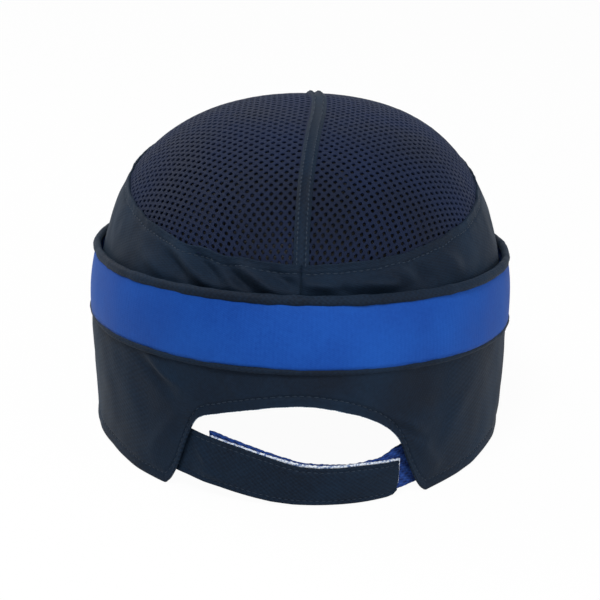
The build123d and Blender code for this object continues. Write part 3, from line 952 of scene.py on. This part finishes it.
def on_crown(across, ahead, lift=0.0):
    """Point of the crown in a direction given by two angles from the upright."""
    aim = Vector((math.tan(across), math.tan(ahead), 1.0)).normalized()
    heart = Vector((0, 0, MESH_HEART))
    near, far = AIM_NEAR, AIM_FAR
    for _ in range(AIM_ROUNDS):
        middle = (near + far) / 2
        near, far = (middle, far) if outside(heart + aim * middle) < 0 else (near, middle)
    point = heart + aim * near
    steps = Matrix.Identity(3) * FORM_STEP
    slope = Vector([outside(point + step) - outside(point - step) for step in steps])
    point += slope.normalized() * lift
    point.x += seam_lean(point.x, point.y)
    return point


def cut_off(net, place, beyond, reach):
    """Cut away what lies beyond a plane, with vertices within reach of it moved on to it."""
    bmesh.ops.bisect_plane(net, geom=net.verts[:] + net.edges[:] + net.faces[:], dist=reach,
                           plane_co=place, plane_no=beyond, clear_outer=True)


def mesh_half(name, side):
    """A flat net with a hole in every whole cell, laid over the crown and cut off along the hem."""
    cells = round(2 * MESH_REACH / HOLE_STEP)
    net = bmesh.new()
    bmesh.ops.create_grid(net, x_segments=cells, y_segments=cells, size=MESH_REACH)
    bmesh.ops.rotate(net, verts=net.verts, matrix=Matrix.Rotation(math.pi / 4, 3, "Z"))
    stray = [vert for vert in net.verts if vert.co.x * side < -2 * HOLE_STEP
             or abs(vert.co.x) > MESH_ACROSS or abs(vert.co.y) > MESH_ALONG]
    bmesh.ops.delete(net, geom=stray, context="VERTS")
    cut_off(net, (side * MESH_SEAM, 0, 0), (-side, 0, 0), 1e-5)
    uv = net.loops.layers.uv.new("cloth")
    whole = [face for face in net.faces if len(face.verts) == 4
             and face.calc_area() > WHOLE_CELL * HOLE_STEP ** 2]
    bmesh.ops.inset_individual(net, faces=whole, thickness=HOLE_STEP * HOLE_FRAME)
    bmesh.ops.delete(net, geom=whole, context="FACES")
    for face in net.faces:
        for loop in face.loops:
            loop[uv].uv = (loop.vert.co.x * MESH_SCALE, loop.vert.co.y * MESH_SCALE)
    for vert in net.verts:
        knot = KNOT_DEPTH * noise.noise(Vector((vert.co.x, vert.co.y, side)) * KNOTS)
        vert.co = on_crown(vert.co.x, vert.co.y, knot) * MM
    edge, tilt = HEM[0] - MESH_TUCK, math.radians(HEM[1])
    cut_off(net, (0, 0, edge * MM), (0, math.sin(tilt), -math.cos(tilt)), 1e-7)
    net.normal_update()
    if sum(face.normal.z for face in net.faces) < 0:
        bmesh.ops.reverse_faces(net, faces=net.faces)
    return finished(net, name)


for name, node, side in (("crown_air_mesh_left", "crown_mesh_left", 1),
                         ("crown_air_mesh_right", "crown_mesh_right", -1)):
    half = new_piece(name, mesh_half(name, side), mesh_yarn, "cover", [node])
    thicken(half, MESH_WALL, levels=1)


# ---- Seam tape
# A narrow tape of the navy twill laid over the crown seam and stitched down along both edges,
# which leaves two ridges with a shallow channel between them.

TAPE_WIDTH, TAPE_LENGTH, TAPE_WALL = 6.8, 232.0, 0.6
TAPE_FRONT, TAPE_REAR = -43.6, 54.0       # its ends, in degrees from the upright
TAPE_LIFT = 0.35
TAPE_WANDER, TAPE_WANDERS = 0.35, 9       # how far it strays from a line, and how often
RIDGE, RIDGE_HEIGHT, RIDGE_WIDTH = 1.9, 0.5, 0.75  # the first is from the middle of the tape
PULL_DEPTH, PULL_WIDTH, PULLS = 0.12, 0.6, 420     # puckers where the stitches draw it in
EDGE_START, EDGE_SLOPE = 2.9, 0.6         # where the tape turns down to the mesh
TAPE_STITCH, TAPE_THREAD, TAPE_THREAD_RISE = 2.2, 0.28, 0.12
TAPE_STEPS = 800


def on_tape(u, w, extra=0.0):
    """Along the crown's seam from the front, and across the tape."""
    ahead = math.radians(TAPE_FRONT + (TAPE_REAR - TAPE_FRONT) * u)
    offset = TAPE_WIDTH * (w - 0.5)
    from_ridge = abs(offset) - RIDGE
    ridge = RIDGE_HEIGHT * math.exp(-(from_ridge / RIDGE_WIDTH) ** 2)
    pull = PULL_DEPTH * math.sin(u * PULLS) * math.exp(-(from_ridge / PULL_WIDTH) ** 2)
    edge = EDGE_SLOPE * max(abs(offset) - EDGE_START, 0)
    point = on_crown(0.0, ahead, TAPE_LIFT + ridge - edge + pull + extra)
    wander = TAPE_WANDER * noise.noise(Vector((u * TAPE_WANDERS, 0, 0)))
    return point + Vector((offset + wander, 0, 0))


tape_mesh = shaped_grid("crown_seam_cloth", 360, 20, on_tape, (TAPE_LENGTH, TAPE_WIDTH))
tape = new_piece("crown_seam_cloth", tape_mesh, navy_trim, "cover",
                 ["crown_seam_tape"])
thicken(tape, TAPE_WALL)


def tape_stitch(share, side):
    """A place on one of the tape's ridges, and the way it faces."""
    point = on_tape(share, 0.5 + side * RIDGE / TAPE_WIDTH, TAPE_THREAD_RISE)
    return point, away_from_axis(point, MESH_HEART)


tape_rows = [evenly(TAPE_STEPS, lambda share: tape_stitch(share, side), closed=False)
             for side in (-1, 1)]
sew("crown_seam_stitches", tape_rows, TAPE_THREAD, "cover", navy_thread, TAPE_STITCH)


# ---- Loop strap
# Brushed royal-blue loop pile on a woven strip, sewn under the right end of the arch.
# It lies flat inside the hook strap, and shows above it near both ends.

# each edge of a strap is a line of x and height
LOOP_TOP = ((-60.0, 25.0), (-50.0, 24.6), (-44.0, 22.2), (-38.0, 18.6), (-30.0, 17.8), (-20.0, 17.5),
            (-2.0, 19.2), (10.0, 22.6), (25.0, 26.6), (38.0, 29.4))
LOOP_BOTTOM = ((-60.0, 4.0), (-44.0, 1.8), (-20.0, 2.0), (10.0, 3.6), (38.0, 10.2))
LOOP_LIFT, LOOP_WALL = -0.4, 1.0
LOOP_START, LOOP_RUN = 38.0, 97.0         # x of its free end, and how far it runs to the right
PILE_DEPTH, PILE_SIZE, PILE_WIDTH = 0.22, 1.1, 19  # the last is about as wide as the strap
PILE_LAYER = 3                            # which layer of the noise it takes

loop_pile = woven("loop_pile", (0.005, 0.018, 0.10), (0.022, 0.075, 0.33), threads=1500.0, slope=1.0,
                  contrast=1.2, strength=0.9, sheen=0.15, tint=(0.4, 0.6, 1.0, 1))


def on_strap(x, w, low, high, lift):
    """Place on a strap that lies round the form, between two heights."""
    return lifted(math.asin(x / HALF_WIDTH), low + (high - low) * w, lift)


def on_loop(u, w):
    """Along the strap from its free end, and up across it."""
    x = LOOP_START - LOOP_RUN * u
    pile = PILE_DEPTH * noise.noise(Vector((x, w * PILE_WIDTH, PILE_LAYER)) / PILE_SIZE)
    return on_strap(x, w, along(LOOP_BOTTOM, x), along(LOOP_TOP, x), LOOP_LIFT + pile)


loop_strap = cloth("loop_strap_pile", ["loop_strap", "loop_strap_root"], (220, 40), on_loop,
                   (104.0, 21.0), loop_pile, LOOP_WALL,
                   body=None, middle=15.0)
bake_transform(loop_strap)


# ---- Hook strap
# A strap of the navy twill, hemmed all round, that comes out from under the left end of the arch.
# It crosses the opening to the right and presses down on the loop strap.

HOOK_TOP = ((-44.3, 16.6), (-28.8, 17.4), (-19.8, 17.3), (-10.0, 17.6), (-1.9, 18.6), (10.9, 21.9),
            (23.8, 25.2), (38.1, 27.9), (46.0, 29.0), (60.0, 30.0))
HOOK_BOTTOM = ((-44.3, 2.9), (-42.6, 1.2), (-40.0, 0.7), (-31.2, 0.6), (-20.3, 0.55),
               (0.7, 0.9), (10.2, 1.7), (22.8, 3.8), (32.4, 5.3), (42.1, 6.3), (60.0, 8.0))
HOOK_LIFT, HOOK_WALL = 1.75, 0.9
HOOK_START, HOOK_RUN = 58.0, 102.3        # x of its sewn end, and how far it runs to the right
HOOK_LEVEL = 12.0                         # height at which its place on the form is read
HOOK_HEM, HOOK_GROOVE, HOOK_PUFF = 0.3, 0.35, 0.5
HOOK_HEM_POWER = 14                       # how late the hem thickens towards the edge
HOOK_STITCH, HOOK_GROOVE_WIDTH = 0.80, 0.035  # as shares of half its height, from its middle
HOOK_RUFFLE = (18.0, 0.5)
HOOK_FREE, HOOK_FREE_RUN = 47.0, 8.0      # x where it comes out from under the panel
HOOK_HELD = 0.7                           # how much flatter it lies under the panel
STRAP_FOLDS = (((44, 26), (36, 14), 0.8, 2.0), ((41, 12), (30, 9), 0.7, 2.2),
               ((10, 20), (-6, 14), 0.5, 2.4), ((-20, 12), (-38, 13), 0.5, 2.2))


def on_hook(u, w):
    """Along the strap from its sewn end, and up across it."""
    x = HOOK_START - HOOK_RUN * u
    low, high = along(HOOK_BOTTOM, x), along(HOOK_TOP, x)
    spot = on_form(math.asin(x / HALF_WIDTH), HOOK_LEVEL)
    spot.z = low + (high - low) * w
    from_middle = abs(2 * w - 1)
    hem = HOOK_HEM * from_middle ** HOOK_HEM_POWER
    groove = HOOK_GROOVE * math.exp(-((from_middle - HOOK_STITCH) / HOOK_GROOVE_WIDTH) ** 2)
    puff = HOOK_PUFF * math.sin(math.pi * w) + ruffle(spot, HOOK_RUFFLE)
    puff += creased(spot, STRAP_FOLDS)
    free = clipped((HOOK_FREE - x) / HOOK_FREE_RUN)
    lift = HOOK_LIFT + hem - groove + puff * free - HOOK_HELD * (1 - free)
    return on_strap(x, w, low, high, lift)


hook_strap = cloth("hook_strap_cloth", ["hook_strap", "hook_strap_root"], (240, 44), on_hook,
                   (110.0, 21.5), navy, HOOK_WALL, body=None,
                   middle=15.0)
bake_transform(hook_strap)


# ---- Hook tape
# Pale nylon hook tape sewn to the inside of the hook strap. Its cut edge shows as a broken white
# line along the top of the strap and down its end.

HOOK_TAPE_LIFT, HOOK_TAPE_WALL = 0.72, 0.75
HOOK_TAPE_START, HOOK_TAPE_RUN = 37.0, 82.4
TAPE_ROUGH, TAPE_ROUGH_SIZE = 0.35, 1.3   # its cut edge
TAPE_ROUGH_ROWS, TAPE_ROUGH_LAYER = 4, 1  # how it changes across, and its layer of the noise
TAPE_OVER = 0.25                          # how far it stands over the strap's top at its left end
TAPE_RISE, TAPE_RISE_RUN = 0.5, 30.0      # how much further it does at the right
TAPE_FOOT = 1.6                           # how far it stops short of the strap's foot
STRAP_SEAM_START, STRAP_SEAM_RUN, STRAP_THREAD_RISE = 44.0, 86.5, 0.12
STRAP_STEPS = 420


def hook_tape_material():
    """Pale nylon hooks with the blue ground between them."""
    material, nodes, links, shader = new_material("hook_tape_nylon", 0.5, 0.2)
    place = nodes.new("ShaderNodeTexCoord").outputs["Object"]
    speck = texture(nodes, links, "ShaderNodeTexNoise", place, 900.0, 3.0)
    tone = ramp(nodes, links, speck.outputs["Fac"],
                ((0.38, (0.10, 0.17, 0.36)), (0.56, (0.72, 0.78, 0.86))))
    links.new(tone, shader.inputs["Base Color"])
    bump(nodes, links, speck.outputs["Fac"], 0.6, 0.3 * MM, shader)
    return material


def on_hook_tape(u, w):
    """Along the inside of the strap, a little over its top edge."""
    x = HOOK_TAPE_START - HOOK_TAPE_RUN * u
    spot = Vector((x / TAPE_ROUGH_SIZE, w * TAPE_ROUGH_ROWS, TAPE_ROUGH_LAYER))
    rough = TAPE_ROUGH * noise.noise(spot)
    rise = clipped((TAPE_RISE_RUN - x) / TAPE_RISE_RUN)
    high = along(HOOK_TOP, x) + TAPE_OVER + TAPE_RISE * rise + rough
    return on_strap(x, w, along(HOOK_BOTTOM, x) + TAPE_FOOT, high, HOOK_TAPE_LIFT)


cloth("hook_tape_strip", ["hook_tape"], (260, 20), on_hook_tape, (88.0, 17.5),
      hook_tape_material(), HOOK_TAPE_WALL, body="hook_closure",
      middle=15.0)


def strap_stitch(share, w):
    """A place in one of the strap's grooves, which face back."""
    x = STRAP_SEAM_START - STRAP_SEAM_RUN * share
    back = Vector((0, 1, 0))
    return on_hook((HOOK_START - x) / HOOK_RUN, w) + back * STRAP_THREAD_RISE, back


strap_rows = [evenly(STRAP_STEPS, lambda share: strap_stitch(share, w), closed=False)
              for w in (0.5 - HOOK_STITCH / 2, 0.5 + HOOK_STITCH / 2)]
strap_stitches = sew("hook_strap_stitches", strap_rows, THREAD, None, navy_thread)
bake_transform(strap_stitches)


# ---- Floor, light and camera
# A pale paper sweep under the cap, three soft lamps and a long lens behind and above the wearer.
# The sweep is near white to the lens, clear from below, and still takes a soft shadow.

FLOOR_WHITE = 0.965
FLOOR_DROP = -0.4 * MM                    # clear of the softest folds of the lower edge
FLOOR_REACH = 6.0                         # how far it goes each way, in metres
ROOM_LEVEL = 0.2                          # what the white room gives to the cap


def either(nodes, links, first, second):
    """One where either of two values is one."""
    node = nodes.new("ShaderNodeMath")
    node.operation = "MAXIMUM"
    links.new(first, node.inputs[0])
    links.new(second, node.inputs[1])
    return node.outputs["Value"]


def floor_material():
    """Pale paper that the lens sees nearly white, and that is clear from below."""
    material = bpy.data.materials.new("pale_floor")
    material.use_nodes = True
    nodes, links = material.node_tree.nodes, material.node_tree.links
    shader = nodes["Principled BSDF"]
    shader.inputs["Base Color"].default_value = (0.9, 0.9, 0.9, 1)
    shader.inputs["Roughness"].default_value = 0.9
    white = nodes.new("ShaderNodeEmission")
    white.inputs["Strength"].default_value = 1.0
    path = nodes.new("ShaderNodeLightPath").outputs
    part = nodes.new("ShaderNodeMath")
    part.operation = "MULTIPLY"
    part.inputs[1].default_value = FLOOR_WHITE
    links.new(either(nodes, links, path["Is Camera Ray"], path["Is Glossy Ray"]), part.inputs[0])
    mix = nodes.new("ShaderNodeMixShader")
    links.new(part.outputs["Value"], mix.inputs["Fac"])
    links.new(shader.outputs["BSDF"], mix.inputs[1])
    links.new(white.outputs["Emission"], mix.inputs[2])
    clear = nodes.new("ShaderNodeMixShader")
    links.new(nodes.new("ShaderNodeNewGeometry").outputs["Backfacing"], clear.inputs["Fac"])
    links.new(mix.outputs["Shader"], clear.inputs[1])
    links.new(nodes.new("ShaderNodeBsdfTransparent").outputs["BSDF"], clear.inputs[2])
    links.new(clear.outputs["Shader"], nodes["Material Output"].inputs["Surface"])
    return material


sweep = bmesh.new()
bmesh.ops.create_grid(sweep, x_segments=1, y_segments=1, size=FLOOR_REACH)
bmesh.ops.translate(sweep, verts=sweep.verts, vec=(0, 0, FLOOR_DROP))
floor = bpy.data.objects.new("floor", finished(sweep, "floor"))
bpy.context.scene.collection.objects.link(floor)
floor.data.materials.append(floor_material())

world = bpy.data.worlds.new("studio")
bpy.context.scene.world = world
world.use_nodes = True
sky, sky_links = world.node_tree.nodes, world.node_tree.links
backdrop = sky["Background"]
backdrop.inputs["Color"].default_value = (1, 1, 1, 1)
look = sky.new("ShaderNodeLightPath").outputs
seen = either(sky, sky_links, look["Is Camera Ray"], look["Is Glossy Ray"])
seen = either(sky, sky_links, seen, look["Is Transmission Ray"])
level = sky.new("ShaderNodeMapRange")
level.inputs["To Min"].default_value = ROOM_LEVEL
level.inputs["To Max"].default_value = 1.0
sky_links.new(seen, level.inputs["Value"])
sky_links.new(level.outputs["Result"], backdrop.inputs["Strength"])


def lamp(name, place, target, size, power):
    """A square soft lamp in metres and watts, turned to a target."""
    light = bpy.data.lights.new(name, "AREA")
    light.size = size
    light.energy = power
    holder = bpy.data.objects.new(name, light)
    holder.location = place
    holder.rotation_euler = (Vector(target) - Vector(place)).to_track_quat("-Z", "Y").to_euler()
    bpy.context.scene.collection.objects.link(holder)


lamp("key", (0.15, 0.75, 1.05), (0, 0, 0.07), 0.35, 10.0)
lamp("fill", (-0.9, 0.8, 0.45), (0, 0, 0.07), 0.6, 5.5)
lamp("rim", (0.7, -0.5, 0.8), (0, 0, 0.1), 0.6, 5.0)

# fitted to the cap's outline, band and arch: it looks level to the front, down and turned a little
CAMERA_PLACE = (0.0, 1.06606, 0.4229)
CAMERA_DROP, CAMERA_ROLL = math.radians(18.0), math.radians(1.5773)
CAMERA_LENS, CAMERA_SHIFT = 145.5, (-0.0023, -0.0758)
lens = bpy.data.cameras.new("camera")
lens.sensor_width = 36.0
lens.lens = CAMERA_LENS
lens.shift_x, lens.shift_y = CAMERA_SHIFT
camera = bpy.data.objects.new("camera", lens)
right = Vector((-1, 0, 0))
ahead = Vector((0, -math.cos(CAMERA_DROP), -math.sin(CAMERA_DROP)))
above = Vector((0, -math.sin(CAMERA_DROP), math.cos(CAMERA_DROP)))
rolled_right = right * math.cos(CAMERA_ROLL) + above * math.sin(CAMERA_ROLL)
rolled_up = above * math.cos(CAMERA_ROLL) - right * math.sin(CAMERA_ROLL)
turn = Matrix((rolled_right, rolled_up, -ahead)).transposed().to_4x4()
camera.matrix_world = Matrix.Translation(CAMERA_PLACE) @ turn
bpy.context.scene.collection.objects.link(camera)
bpy.context.scene.camera = camera
bpy.context.scene.view_settings.view_transform = "Standard"
